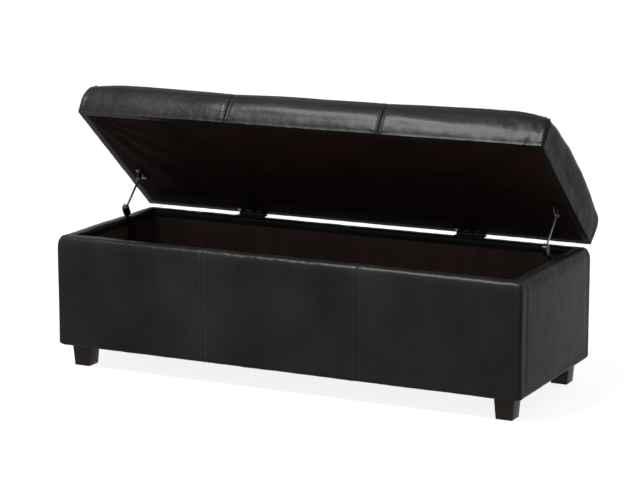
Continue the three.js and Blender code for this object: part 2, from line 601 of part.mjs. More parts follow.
function lidBracket(side) {
  const top = lidLiningTop - LID_LINING - TOUCH;
  const under = top - STAY_STEEL;
  const middle = -STAY_LID_REACH - BRACKET_AHEAD;
  const flange = block(span(side * (lugX[1] - BRACKET_WIDTH), side * lugX[1]),
    [middle - BRACKET_LENGTH / 2, middle + BRACKET_LENGTH / 2], [under, top]);
  const lug = new THREE.Shape();
  lug.moveTo(-STAY_LID_REACH - STAY_ARM_LID_RADIUS * 2, top - STAY_STEEL / 2);
  lug.lineTo(-STAY_LID_REACH - STAY_ARM_LID_RADIUS, -STAY_LID_DROP);
  lug.absarc(-STAY_LID_REACH, -STAY_LID_DROP, STAY_ARM_LID_RADIUS, Math.PI, Math.PI * 2);
  lug.lineTo(-STAY_LID_REACH + STAY_ARM_LID_RADIUS * 2, top - STAY_STEEL / 2);
  lug.closePath();
  let bracket = flange.add(acrossStay(lug, side, lugX));
  for (const end of [-1, 1]) {
    const x = side * (lugX[0] - BRACKET_SCREW_INSET);
    const y = middle + end * BRACKET_SCREW_PITCH / 2;
    bracket = bracket.add(rod(STAY_SCREW_RADIUS,
      new THREE.Vector3(x, y, under - STAY_SCREW_HEAD), new THREE.Vector3(x, y, under + STAY_STEEL / 2)));
  }
  return bracket.subtract(stayRod(RIVET_RADIUS + PIVOT_CLEARANCE, side, [lugX[0] - 1, lugX[1] + 1],
    -STAY_LID_REACH, -STAY_LID_DROP));
}

for (const [name, side] of [['left', -1], ['right', 1]]) {
  const plate = block(span(side * plateX[0], side * plateX[1]),
    [-BASE_PLATE_WIDTH / 2, BASE_PLATE_WIDTH / 2], [-BASE_PLATE_BELOW, BASE_PLATE_ABOVE]);
  const pinHead = [linkX[0] - TOUCH - RIVET_HEAD, linkX[0] - TOUCH];
  const foot = plate.add(stayRod(STAY_PIN_RADIUS, side, [pinHead[0], plateX[0] + STAY_STEEL / 2]))
    .add(stayRod(STAY_PIN_HEAD_RADIUS, side, pinHead));
  addPiece(`${name}_stay_base_plate`, foot, bronze).position.set(0, footY, footZ);

  const link = addPiece(`${name}_stay_link`, stayLink(side), bronze);
  link.position.set(0, footY, footZ);
  link.rotation.x = linkAngle;

  const arm = addPiece(`${name}_stay_arm`, stayArm(side), steel);
  arm.position.copy(lidPivot);
  arm.rotation.x = armAngle;

  addPiece(`${name}_stay_lid_bracket`, lidBracket(side), bronze, lid);
}

// ---------------------------------------------------------------- origin
bench.updateMatrixWorld(true);
const outer = new THREE.Box3().setFromObject(bench, true);
bench.position.y = -(outer.min.y + outer.max.y) / 2;
bench.updateMatrixWorld(true);

export default bench;
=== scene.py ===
import json
import math

import bmesh
import bpy
from mathutils import Matrix, Vector, noise
from mathutils.bvhtree import BVHTree


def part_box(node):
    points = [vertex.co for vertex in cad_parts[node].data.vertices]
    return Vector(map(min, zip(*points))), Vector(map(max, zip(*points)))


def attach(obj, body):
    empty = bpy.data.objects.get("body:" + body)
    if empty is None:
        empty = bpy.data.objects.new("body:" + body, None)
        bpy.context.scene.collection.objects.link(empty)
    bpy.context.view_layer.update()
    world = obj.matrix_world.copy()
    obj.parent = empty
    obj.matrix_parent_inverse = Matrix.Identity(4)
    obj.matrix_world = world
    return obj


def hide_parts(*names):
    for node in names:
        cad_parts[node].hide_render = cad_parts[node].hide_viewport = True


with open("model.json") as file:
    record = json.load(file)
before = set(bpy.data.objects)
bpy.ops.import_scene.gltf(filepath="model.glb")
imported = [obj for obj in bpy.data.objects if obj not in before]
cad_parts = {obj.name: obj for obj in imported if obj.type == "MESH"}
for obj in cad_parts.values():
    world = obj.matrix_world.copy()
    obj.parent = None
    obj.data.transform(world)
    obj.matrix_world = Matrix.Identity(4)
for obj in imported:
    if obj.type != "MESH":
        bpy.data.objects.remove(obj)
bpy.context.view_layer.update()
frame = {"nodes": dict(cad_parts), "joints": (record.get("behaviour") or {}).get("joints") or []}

# ---------------------------------------------------------------- camera and studio
# A long lens from the front right, a little above the bench, with one soft box overhead, white
# walls all round and a floor of white paper that is lit from below, so that shadows stay faint.
camera_data = bpy.data.cameras.new("camera")
camera_data.lens = 130.6
camera_data.sensor_width = 36.0
camera_data.clip_end = 200
camera = bpy.data.objects.new("camera", camera_data)
camera.location = (2.4364, -4.9690, 1.4450)
camera.rotation_euler = (math.radians(78.58), 0, math.radians(26.25))
bpy.context.scene.collection.objects.link(camera)
bpy.context.scene.camera = camera
bpy.context.scene.view_settings.view_transform = "Standard"


class Shade:
    """A shader socket that takes part in sums, so that a finish can be written as a formula."""

    def __init__(self, tree, socket):
        self.tree = tree
        self.socket = socket

    def node(self, kind, *inputs, out=0, settings=None, **named):
        made = self.tree.nodes.new(kind)
        for key, value in (settings or {}).items():
            if key == "stops":
                ramp = made.color_ramp
                while len(ramp.elements) < len(value):
                    ramp.elements.new(0.5)
                for element, (place, colour) in zip(ramp.elements, value):
                    element.position = place
                    element.color = colour
            else:
                setattr(made, key, value)
        for key, value in [*enumerate(inputs), *named.items()]:
            target = made.inputs[key.replace("_", " ") if isinstance(key, str) else key]
            if isinstance(value, Shade):
                self.tree.links.new(value.socket, target)
            elif value is not None:
                target.default_value = value
        return Shade(self.tree, made.outputs[out])

    def maths(self, operation, *inputs):
        return self.node("ShaderNodeMath", *inputs, settings={"operation": operation})

    def __add__(self, other): return self.maths("ADD", self, other)
    def __radd__(self, other): return self.maths("ADD", other, self)
    def __sub__(self, other): return self.maths("SUBTRACT", self, other)
    def __rsub__(self, other): return self.maths("SUBTRACT", other, self)
    def __mul__(self, other): return self.maths("MULTIPLY", self, other)
    def __rmul__(self, other): return self.maths("MULTIPLY", other, self)


def new_finish(name):
    """An empty material, its place in the object's own coordinates, and its surface."""
    material = bpy.data.materials.new(name)
    material.use_nodes = True
    tree = material.node_tree
    surface = tree.nodes["Principled BSDF"]
    place = Shade(tree, tree.nodes.new("ShaderNodeTexCoord").outputs["Object"])
    return material, place, surface


def connect(surface, **sockets):
    """Links a Shade to a surface's socket, or sets the socket when the value is the same all over."""
    for name, value in sockets.items():
        target = surface.inputs[name.replace("_", " ")]
        if isinstance(value, Shade):
            value.tree.links.new(value.socket, target)
        else:
            target.default_value = value


def blended(share, first, second):
    """A colour that goes from first to second as share goes from 0 to 1."""
    return share.node("ShaderNodeMix", settings={"data_type": "RGBA"}, out=2,
                      Factor=share, A=(*first, 1), B=(*second, 1))


def studio_paper():
    material, place, surface = new_finish("studio_paper")
    mottle = place.node("ShaderNodeTexNoise", Vector=place, Scale=3.0, Detail=2.0)
    connect(surface, Base_Color=blended(mottle, (0.12, 0.12, 0.12), (0.13, 0.13, 0.13)),
            Roughness=0.9, Specular_IOR_Level=0.1, Emission_Color=(1, 1, 1, 1), Emission_Strength=0.87)
    return material


floor_mesh = bpy.data.meshes.new("floor")
bm = bmesh.new()
bmesh.ops.create_grid(bm, x_segments=4, y_segments=4, size=60)
bm.to_mesh(floor_mesh)
bm.free()
floor = bpy.data.objects.new("floor", floor_mesh)
floor_mesh.materials.append(studio_paper())
bpy.context.scene.collection.objects.link(floor)


def soft_box(name, place, aim, width, height, power):
    data = bpy.data.lights.new(name, "AREA")
    data.shape = "RECTANGLE"
    data.size = width
    data.size_y = height
    data.energy = power
    light = bpy.data.objects.new(name, data)
    light.location = place
    light.rotation_euler = (Vector(aim) - Vector(place)).to_track_quat("-Z", "Y").to_euler()
    bpy.context.scene.collection.objects.link(light)
    return light


soft_box("overhead", (-0.90, -1.66, 3.35), (0, 0, 0.5), 1.7, 0.8, 320)
world = bpy.data.worlds.new("studio")
world.use_nodes = True
world.node_tree.nodes["Background"].inputs["Color"].default_value = (1, 1, 1, 1)
world.node_tree.nodes["Background"].inputs["Strength"].default_value = 1.04
bpy.context.scene.world = world

# ---------------------------------------------------------------- padded box
# The box's four walls: boards wrapped in thin foam and covered in soft black bonded leather,
# sewn from three panels along the front and the back and one at each end. The leather is rolled
# over the rim and stapled inside the well, and turned under the bottom edge.


cloud_contrast = 1.6
dull_tone = (0.0054, 0.0053, 0.0053)
gloss_share = 0.42


def black_leather():
    """Fine pebbled grain, soft handling creases and a sheen that is duller where it is rubbed."""
    material, place, surface = new_finish("black_leather")
    pebbles = place.node("ShaderNodeTexVoronoi", Vector=place, Scale=620.0)
    pores = place.node("ShaderNodeTexNoise", Vector=place, Scale=1500.0, Detail=3.0)
    creases = place.node("ShaderNodeTexNoise", Vector=place, Scale=38.0, Detail=4.0, Distortion=0.6)
    mottle = place.node("ShaderNodeTexNoise", Vector=place, Scale=170.0, Detail=3.0, Roughness=0.7)
    wear = place.node("ShaderNodeTexNoise", Vector=place, Scale=7.0, Detail=3.0)
    grain = place.node("ShaderNodeBump", Strength=0.16, Distance=0.0006, Height=pebbles + pores * 0.5)
    tumbled = place.node("ShaderNodeBump", Strength=0.32, Distance=0.0012, Height=mottle, Normal=grain)
    folds = place.node("ShaderNodeBump", Strength=0.26, Distance=0.0030, Height=creases, Normal=tumbled)
    clouds = (wear - 0.5) * cloud_contrast + 0.5
    tone = blended(clouds, (0.0010, 0.0010, 0.0010), (0.0130, 0.0122, 0.0118))
    connect(surface, Base_Color=tone, Roughness=0.25 + wear * 0.06 + mottle * 0.09, Normal=folds,
            Specular_IOR_Level=0.09, Coat_Weight=0.05, Coat_Roughness=0.15)
    dull = place.node("ShaderNodeBsdfDiffuse", Color=(*dull_tone, 1), Normal=folds)
    glossy = Shade(place.tree, surface.outputs[0])
    worn = place.node("ShaderNodeMixShader", gloss_share + wear * 0.14, dull, glossy)
    place.tree.links.new(worn.socket, place.tree.nodes["Material Output"].inputs["Surface"])
    return material


leather = black_leather()
cover_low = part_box("front_cover_middle_panel")[0]
cover_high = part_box("back_cover")[1]
cover_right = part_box("right_cover")[1].x
cover_middle = (cover_low.y + cover_high.y) / 2
half_depth = (cover_high.y - cover_low.y) / 2
rim_top = cover_high.z
box_bottom = cover_low.z
wall = cover_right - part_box("right_cover")[0].x
seam_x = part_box("front_cover_middle_panel")[1].x
foam_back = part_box("right_wall_foam")[0].x
foam_depth = cover_right - foam_back
under_wrap = 0.023
well_flap = 0.020
corner_round = 0.0055


def straight(start, end, count):
    """Evenly spaced points from start towards end, end left out."""
    return [Vector(start).lerp(Vector(end), i / count) for i in range(count)]


def arc(middle, radius, start, end, count):
    """Points round an arc between two angles in degrees, the last left out."""
    turn = [math.radians(start + (end - start) * i / count) for i in range(count)]
    return [Vector((middle[0] + radius * math.cos(a), middle[1] + radius * math.sin(a))) for a in turn]


def wall_section():
    """Depth into the wall and height: up the flap in the well, over the rim, down the face and under."""
    inner, outer, roll, hem = 0.0085, 0.0135, 0.028, 0.008
    hidden = 0.0016
    return [
        *straight((wall, rim_top - well_flap), (wall, rim_top - inner), 4),
        *arc((wall - inner, rim_top - inner), inner, 0, 90, 6),
        *straight((wall - inner, rim_top), (outer, rim_top), 5),
        *[Vector((place.x, rim_top - (rim_top - place.y) * roll / outer))
          for place in arc((outer, rim_top - outer), outer, 90, 180, 12)],
        *straight((0, rim_top - roll), (0, box_bottom + hem), 43),
        *arc((hem, box_bottom + hem), hem, 180, 270, 5),
        *straight((hem, box_bottom), (under_wrap, box_bottom), 3),
        *straight((under_wrap, box_bottom), (under_wrap, box_bottom + hidden), 1),
        *straight((under_wrap, box_bottom + hidden), (foam_depth, box_bottom + hidden), 1),
        *straight((foam_depth, box_bottom + hidden), (foam_depth, rim_top - hidden), 6),
        *straight((foam_depth, rim_top - hidden), (wall - hidden, rim_top - hidden), 2),
        *straight((wall - hidden, rim_top - hidden), (wall - hidden, rim_top - well_flap), 1),
        Vector((wall - hidden, rim_top - well_flap)),
    ]


seam_steps = (0.0, 0.0010, 0.0022, 0.0038, 0.0052, 0.0062, 0.0072, 0.0085, 0.0105, 0.0130, 0.0165)


def stations(half, seams, pitch):
    """Places along a wall from -half to half, crowded round each sewn seam."""
    marks = {-half, half}
    for seam in seams:
        for step in seam_steps:
            marks.update((seam - step, seam + step))
    edges = sorted(marks)
    filled = []
    for a, b in zip(edges, edges[1:]):
        count = max(1, round((b - a) / pitch))
        filled += [a + (b - a) * i / count for i in range(count)]
    return filled


def round_the_box(seams, pitch=0.0045, corner_steps=7):
    """Stations right round the box: the wall's direction, how far along it, and the corner's angle."""
    path = []
    long_half = cover_right - corner_round
    short_half = half_depth - corner_round
    for quarter, (half, sewn) in enumerate(
            ((long_half, seams), (short_half, ()), (long_half, seams), (short_half, ()))):
        path += [(quarter, s, 0.0) for s in stations(half, sewn, pitch)]
        path += [(quarter, half, 90.0 * i / corner_steps) for i in range(corner_steps)]
    return path


def on_wall(station, depth, height):
    """The point at a depth into the wall, where walls are mitred and their corners slightly round."""
    quarter, along, turn = station
    reach_x, reach_y = cover_right - corner_round, half_depth - corner_round
    half = reach_x if quarter % 2 == 0 else reach_y
    other = reach_y if quarter % 2 == 0 else reach_x
    inset = max(0.0, depth - corner_round + 0.001)
    radius = max(corner_round - depth, 0.001)
    near_end = max(0.0, abs(along) - (half - 0.06)) / 0.06
    along -= math.copysign(inset * near_end, along)
    angle = math.radians(turn)
    local = Vector((along + radius * math.sin(angle), -(other - inset) - radius * math.cos(angle), height))
    placed = Matrix.Rotation(math.radians(90 * quarter), 4, "Z") @ local
    return placed + Vector((0, cover_middle, 0))


def band(seam_places, section):
    """A closed grid bent round the box: columns are stations, rows follow the wall's section."""
    path = round_the_box(seam_places)
    bm = bmesh.new()
    bmesh.ops.create_grid(bm, x_segments=len(path), y_segments=len(section), size=0.5)
    for vert in bm.verts:
        column = round((vert.co.x + 0.5) * len(path)) % len(path)
        row = round((vert.co.y + 0.5) * len(section)) % len(section)
        vert.co = on_wall(path[column], *section[row])
    bmesh.ops.remove_doubles(bm, verts=bm.verts, dist=0.00002)
    bmesh.ops.recalc_face_normals(bm, faces=bm.faces)
    return bm


def near(distance, reach):
    """1 where the distance is nothing, fading softly away over about twice the reach."""
    return math.exp(-(distance / reach) ** 2)


def share_of(value, full):
    """How much of the full amount a value is, kept between 0 and 1."""
    return min(1.0, max(0.0, value / full))


def dip(distance, depth, width):
    """A smooth groove of one depth and half width."""
    return -depth * near(distance, width)


def sewn_profile(distance):
    """Height beside a felled seam: the join, the two rows of stitches and the puffed leather."""
    d = abs(distance)
    return (dip(d, 0.0024, 0.0012) + dip(d - 0.0066, 0.0008, 0.0009)
            - dip(d - 0.0036, 0.0007, 0.0022) - dip(d - 0.0125, 0.0006, 0.0050))


def pucker(along, across, pitch=0.0115):
    """Small gathers that run out of a row of stitches."""
    fade = near(abs(across) - 0.009, 0.012)
    wander = noise.noise(Vector((along * 31, across * 60, 1.7)))
    return 0.00035 * fade * math.sin(2 * math.pi * along / pitch + 5 * wander)


def soft(point, scale, seed):
    """A smooth random waver between about -1 and 1."""
    return noise.noise(point * scale + Vector((seed, seed * 1.7, -seed)))


wall_fullness = 0.0014
panel_crown = 0.0012
panel_slope = 0.16
end_crown = 0.0040
rim_reach = 0.030
hem_reach = 0.016
hem_drop = 0.0055
box_seam_share = 0.5
plain_corner = 0.05
corner_groove = 0.0028
rim_hollow = 0.0010


def box_relief(point, normal):
    """How far the leather stands from the drawn face of the box."""
    face = 1.0 - abs(normal.z)
    plan = Vector((point.x, point.y, 0))
    end_x = cover_right - abs(point.x)
    end_y = half_depth - abs(point.y - cover_middle)
    height = wall_fullness * face + 0.0006 * soft(point, 5.0, 3.1) + 0.0003 * soft(point, 19.0, 7.3)
    rolled = near(rim_top - point.z, rim_reach)
    height += rolled * (0.0007 * soft(plan, 55.0, 2.2) + 0.0010 * soft(plan, 16.0, 9.4))
    hem = near(point.z - box_bottom, hem_reach)
    height += hem * (hem_drop * max(0.0, -normal.z) + 0.0006 * soft(plan, 40.0, 4.8))
    if end_y < wall + 0.002:
        beside = abs(point.x) - seam_x
        if end_x > plain_corner:
            height += box_seam_share * (sewn_profile(beside) + pucker(point.z + point.y, beside))
        held_down = 1 - min(1.0, abs(beside) / panel_slope)
        height += panel_crown * face * (1 - held_down ** 2) * min(1.0, end_x / plain_corner)
    else:
        across = (point.y - cover_middle) / half_depth
        level = (point.z - box_bottom) / (rim_top - box_bottom)
        height += end_crown * face * (1 - across ** 2) * min(1.0, 6 * level, 9 * (1 - level) + 0.4)
    corner = max(end_x, end_y)
    height += near(corner, 0.020) * rolled * 0.0014 * soft(point, 75.0, 5.9)
    groove = dip(end_x - end_y, corner_groove * min(1.0, rolled + 0.6), 0.0026)
    height += groove * near(corner, 0.034)
    if normal.z > 0.2:
        height = max(height, -rim_hollow)
        if point.y > cover_middle + half_depth - wall:
            height = min(height, 0.0)
    inside = point.z < rim_top - 0.002 and min(end_x, end_y) > foam_depth - 0.001
    return 0.0 if inside else height


def press(bm, relief):
    """Moves each vertex out along its normal by what the relief says there."""
    bm.normal_update()
    moved = [(vert, vert.co + vert.normal * relief(vert.co, vert.normal)) for vert in bm.verts]
    for vert, place in moved:
        vert.co = place


def finished(bm, name, material, body, smooth_below=40):
    """The piece as an object at the origin, riding on its body, with its finish and slot."""
    mesh = bpy.data.meshes.new(name)
    bm.to_mesh(mesh)
    bm.free()
    mesh.polygons.foreach_set("use_smooth", [True] * len(mesh.polygons))
    mesh.set_sharp_from_angle(angle=math.radians(smooth_below))
    mesh.materials.append(material)
    piece = bpy.data.objects.new(name, mesh)
    bpy.context.scene.collection.objects.link(piece)
    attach(piece, body)
    return piece


box_band = band((-seam_x, seam_x), wall_section())
press(box_band, box_relief)
box_tree = BVHTree.FromBMesh(box_band)
box_cover = finished(box_band, "box_upholstery", leather, "cabinet", 75)
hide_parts("front_cover_left_panel", "front_cover_middle_panel", "front_cover_right_panel",
            "right_cover", "back_cover", "left_cover",
            *(f"{side}_wall_foam" for side in ("front", "right", "back", "left")))

# ---------------------------------------------------------------- lid cushion
# The seat: foam on a plywood deck, domed from front to back, under three sewn leather panels
# with topstitched seams. The ends are boxed, gathered at the corners, and the leather is
# wrapped under the frame and stapled.
hinge_joint = next(joint for joint in frame["joints"] if joint["name"] == "lid_hinge")
hinge_at = Vector(hinge_joint["pos_m"])
lid_swing = math.radians(hinge_joint["range_deg"][1])
lid_to_row = Matrix.Translation(hinge_at) @ Matrix.Rotation(-lid_swing, 4, "X")
row_to_lid = lid_to_row.inverted()


def lid_box(*nodes):
    """Lowest and highest corner of lid nodes with the lid shut, measured from the hinge pin."""
    points = [row_to_lid @ vert.co for node in nodes for vert in frame["nodes"][node].data.vertices]
    return (Vector(min(p[i] for p in points) for i in range(3)),
            Vector(max(p[i] for p in points) for i in range(3)))


lid_low, lid_high = lid_box("lid_cover_left_panel", "lid_cover_middle_panel", "lid_cover_right_panel")
lid_middle_y = (lid_low.y + lid_high.y) / 2
lid_half_depth = (lid_high.y - lid_low.y) / 2
cushion_mesh = 0.0095
rail_cover = 0.030
lid_crown = 0.0075
lid_dome = 0.0095
end_swell = 0.013
corner_drop = 0.011
front_stuffing = 0.0045
upright_round = 0.0030
front_corner_round = 0.0170
back_corner_round = 0.0060
lid_edge_top = lid_high.z - lid_dome - lid_crown
leather_slack = 0.0006


def chosen(bm, test):
    return [edge for edge in bm.edges if all(test(vert.co) for vert in edge.verts)]


def round_edges(bm, edges, radius, segments):
    bmesh.ops.bevel(bm, geom=edges, offset=radius, segments=segments, profile=0.5, affect="EDGES",
                    material=-1)


def evenly(low, high, pitch):
    count = round((high - low) / pitch)
    return [low + (high - low) * i / count for i in range(1, count)]


def slice_at(bm, place, facing):
    bmesh.ops.bisect_plane(bm, geom=[*bm.verts, *bm.edges, *bm.faces], plane_co=place,
                           plane_no=facing, dist=0.0002)


def cushion_block():
    """The foam's plain form: round top edges, softer corners and a small round underneath."""
    bm = bmesh.new()
    bmesh.ops.create_cube(bm, size=1)
    size = lid_high - lid_low - Vector((2, 2, 0)) * leather_slack
    size.z = lid_edge_top - lid_low.z
    for vert in bm.verts:
        vert.co = Vector((vert.co.x * size.x, lid_middle_y + vert.co.y * size.y,
                          lid_low.z + (vert.co.z + 0.5) * size.z))
    top = lid_low.z + size.z
    upright = [e for e in bm.edges if abs(e.verts[0].co.z - e.verts[1].co.z) > 0.01]
    round_edges(bm, upright, upright_round, 3)
    round_edges(bm, chosen(bm, lambda co: co.z > top - 0.0001), 0.020, 8)
    round_edges(bm, chosen(bm, lambda co: co.z < lid_low.z + 0.0001), 0.0055, 3)
    for axis in range(3):
        facing = Vector(1.0 if i == axis else 0.0 for i in range(3))
        for place in evenly(lid_low[axis], lid_high[axis], cushion_mesh):
            slice_at(bm, facing * place, facing)
    return bm


def with_modifiers(name, bm, *modifiers):
    """The mesh after modifiers, each a kind and its settings, as a new bmesh."""
    mesh = bpy.data.meshes.new(name)
    bm.to_mesh(mesh)
    bm.free()
    holder = bpy.data.objects.new(name, mesh)
    bpy.context.scene.collection.objects.link(holder)
    for kind, settings in modifiers:
        modifier = holder.modifiers.new(kind, kind)
        for key, value in settings.items():
            setattr(modifier, key, value)
    shaped = holder.evaluated_get(bpy.context.evaluated_depsgraph_get()).to_mesh()
    made = bmesh.new()
    made.from_mesh(shaped)
    bpy.data.objects.remove(holder)
    return made


def dome_at(point):
    """Rise of the seat: domed from front to back and crowned a little within each panel."""
    across = (point.y - lid_middle_y) / lid_half_depth
    beside = abs(abs(point.x) - seam_x)
    panel = 1 - 0.6 * max(0.0, 1 - beside / 0.19) ** 2
    end = share_of(lid_high.x - abs(point.x), 0.09)
    dome = lid_dome * max(0.0, 1 - across ** 2) ** 0.7
    return (dome + lid_crown * panel * end ** 0.6) * (0.78 + 0.22 * end)


def inflate(bm, pressure, cap, held):
    """Lets the leather swell like a stuffed cushion, with the held points kept, up to a cap."""
    mesh = bpy.data.meshes.new("swelling")
    bm.to_mesh(mesh)
    bm.free()
    holder = bpy.data.objects.new("swelling", mesh)
    bpy.context.scene.collection.objects.link(holder)
    group = holder.vertex_groups.new(name="held")
    start = [vert.co.copy() for vert in mesh.vertices]
    outward = [vert.normal.copy() for vert in mesh.vertices]
    for index, place in enumerate(start):
        weight = held(place)
        if weight > 0:
            group.add([index], weight, "REPLACE")
    cloth = holder.modifiers.new("cloth", "CLOTH")
    cloth.settings.use_pressure = True
    cloth.settings.uniform_pressure_force = pressure
    cloth.settings.effector_weights.gravity = 0
    cloth.settings.vertex_group_mass = "held"
    cloth.settings.pin_stiffness = 4
    cloth.settings.quality = 5
    cloth.collision_settings.use_collision = False
    for number in range(1, 17):
        bpy.context.scene.frame_set(number)
    shaped = holder.evaluated_get(bpy.context.evaluated_depsgraph_get()).to_mesh()
    made = bmesh.new()
    made.from_mesh(shaped)
    bpy.context.scene.frame_set(1)
    bpy.data.objects.remove(holder)
    for vert, place, normal in zip(made.verts, start, outward):
        swell = (vert.co - place).dot(normal)
        vert.co = place + normal * min(cap, max(0.0, swell))
    return made


def round_corner(point):
    """Above the rails the boxed corners grow rounder towards the top of the seat."""
    rise = share_of(point.z - lid_low.z - rail_cover, 0.055)
    grown = front_corner_round if point.y < lid_middle_y else back_corner_round
    radius = upright_round + grown * rise * rise * (3 - 2 * rise)
    centre = Vector((lid_high.x - leather_slack - radius, lid_half_depth - leather_slack - radius))
    out = Vector((abs(point.x), abs(point.y - lid_middle_y))) - centre
    if min(out) > 0 and out.length > radius:
        out *= radius / out.length
        point.x = math.copysign(centre.x + out.x, point.x)
        point.y = lid_middle_y + math.copysign(centre.y + out.y, point.y - lid_middle_y)


def stuff(point):
    """Stuffs the plain block: domed on top, swollen at the ends, lower at the front corners."""
    round_corner(point)
    rise = share_of(point.z - lid_low.z - rail_cover, lid_edge_top - lid_low.z - rail_cover - 0.002)
    across = (point.y - lid_middle_y) / lid_half_depth
    end_x = lid_high.x - abs(point.x)
    near_corner = (max(0.0, 1 - end_x / 0.085) * max(0.0, -across - 0.1) / 0.9) ** 2
    fuller = front_stuffing * min(1.0, max(0.3, point.x / seam_x))
    dropped = corner_drop * near_corner * (1.0 if point.x > 0 else 0.4)
    swell = end_swell * max(0.0, 1 - end_x / 0.08) ** 2 * rise * max(0.0, 1 - across ** 2)
    point.z += (dome_at(point) + fuller) * rise ** 2 - dropped * rise
    point.x += math.copysign(swell, point.x)


def held_share(point):
    """How firmly the leather is held: fully underneath, strongly at the seams."""
    if point.z < lid_low.z + rail_cover:
        return 1.0
    return 0.9 if abs(abs(point.x) - seam_x) < 0.006 else 0.0


lid_seam_share = 0.75
lid_pucker_share = 1.2
panel_valley = 0.0005
front_bulge = 0.0050
end_bulge = 0.0030
left_crease_share = 0.3


def lid_relief(point, normal):
    """Seams, stitch rows, gathers and creases of the lid's leather."""
    beside = abs(point.x) - seam_x
    end_x = lid_high.x - abs(point.x)
    end_y = min(point.y - lid_low.y, lid_high.y - point.y)
    above = point.z - lid_low.z
    face = 1.0 if above > 0.004 else 0.0
    upright = share_of(above, lid_edge_top - lid_low.z)
    bulge = 4 * upright * (1 - upright)
    height = face * lid_seam_share * sewn_profile(beside)
    height += face * lid_pucker_share * pucker(point.y + point.z, beside)
    height -= face * panel_valley * near(beside, 0.022)
    height += bulge * (front_bulge * abs(normal.y) + end_bulge * abs(normal.x))
    height += 0.0012 * soft(point, 6.0, 1.3) + 0.0005 * soft(point, 17.0, 8.2)
    creased = near(end_x, 0.16) * (1.0 if point.x > 0 else left_crease_share)
    height += 0.0014 * creased * noise.noise(Vector((point.x * 60, point.y * 14, point.z * 22)))
    height += 0.0010 * creased * noise.noise(Vector((point.x * 150, point.y * 30, point.z * 50)))
    piped = abs(end_x - end_y)
    boxed = share_of(above - 0.006, 0.012) * (1 - upright ** 2) ** 1.5
    at_corner = near(max(end_x, end_y), 0.045) * boxed * face
    height += (dip(piped, 0.0022, 0.0016) - dip(piped - 0.0055, 0.0012, 0.0030)) * at_corner
    gathers = math.sin(2 * math.pi * point.z / 0.0105 + 3 * soft(point, 25, 2.0))
    height += 0.0006 * at_corner * gathers * near(piped - 0.007, 0.006)
    plan = Vector((point.x, point.y, 0))
    height += 0.0006 * near(above - 0.008, 0.010) * soft(plan, 60.0, 6.1) * face
    if above < rail_cover:
        height = max(height, -0.0009 if end_x > 0.02 else -0.0002)
    return height


lid_wrap = lid_box("lid_lining")[0].x - lid_low.x
hem_gap = 0.0013
hem_height = 0.0045
leather_pressure = 4.0
most_swell = 0.0070
cushion = cushion_block()
for vert in cushion.verts:
    stuff(vert.co)
cushion = inflate(cushion, leather_pressure, most_swell, held_share)
cushion = with_modifiers("cushion_fine", cushion, ("SUBSURF", {"levels": 1, "render_levels": 1}))
for side in (-1, 1):
    for step in seam_steps[:9]:
        for place in {side * seam_x - step, side * seam_x + step}:
            slice_at(cushion, (place, 0, 0), (1, 0, 0))
press(cushion, lid_relief)
for vert in cushion.verts:
    from_edge = min(lid_high.x - abs(vert.co.x), vert.co.y - lid_low.y, lid_high.y - vert.co.y)
    if vert.co.z < lid_low.z + hem_height:
        step_in = share_of(from_edge - lid_wrap, 0.002)
        waver = 0.0003 * soft(vert.co, 45.0, 3.0) * (1 - step_in)
        vert.co.z = lid_low.z + hem_gap * step_in + waver
lid_tree = BVHTree.FromBMesh(cushion)
cushion.transform(lid_to_row)
lid_cushion = finished(cushion, "lid_cushion", leather, "lid", 75)
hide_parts("lid_cover_left_panel", "lid_cover_middle_panel", "lid_cover_right_panel",
            "lid_foam")

# ---------------------------------------------------------------- topstitching
# Two rows of waxed black thread along every panel seam, about five stitches to the inch.
stitch_pitch = 0.0052
stitch_length = 0.0036
stitch_round = 0.00038
row_offset = 0.0066


def thread():
    material, place, surface = new_finish("waxed_thread")
    twist = place.node("ShaderNodeTexWave", Vector=place, Scale=900.0, Distortion=1.5)
    bump = place.node("ShaderNodeBump", Strength=0.3, Distance=0.0002, Height=twist)
    fuzz = place.node("ShaderNodeTexNoise", Vector=place, Scale=400.0, Detail=2.0)
    tone = blended(fuzz, (0.010, 0.0095, 0.009), (0.020, 0.019, 0.018))
    connect(surface, Base_Color=tone, Roughness=0.55 + fuzz * 0.1, Normal=bump)
    return material


def add_stitch(bm, place, along, outward):
    """One stitch: a slim bead that dips into the leather at both ends."""
    across = along.cross(outward).normalized()
    turned = Matrix((along, across, outward)).transposed().to_4x4()
    placed = Matrix.Translation(place + outward * stitch_round * 0.5) @ turned
    sized = Matrix.Diagonal((stitch_length / 2, stitch_round, stitch_round, 1))
    bmesh.ops.create_uvsphere(bm, u_segments=6, v_segments=4, radius=1,
                              matrix=placed @ sized @ Matrix.Rotation(math.pi / 2, 4, "Y"))


def stitch_rows(bm, tree, route, seams):
    """Stitches along a route that turns round the piece, each dropped on the leather inward of it."""
    lengths = [(b - a).length for a, b in zip(route, route[1:])]
    for seam in seams:
        for side in (-1, 1):
            previous = None
            travelled = 0.0
            while travelled < sum(lengths):
                left, index = travelled, 0
                while left > lengths[index]:
                    left -= lengths[index]
                    index += 1
                along = (route[index + 1] - route[index]).normalized()
                point = route[index] + along * left
                inward = Vector((0, -along.z, along.y))
                start = Vector((seam + side * row_offset, point.y, point.z)) - inward * 0.03
                hit, normal, _, _ = tree.ray_cast(start, inward, 0.12)
                if hit is not None and (previous is None or (hit - previous).length > stitch_pitch * 0.8):
                    lie = (along - normal * along.dot(normal)).normalized()
                    add_stitch(bm, hit, lie, normal)
                    previous = hit
                travelled += stitch_pitch / 2


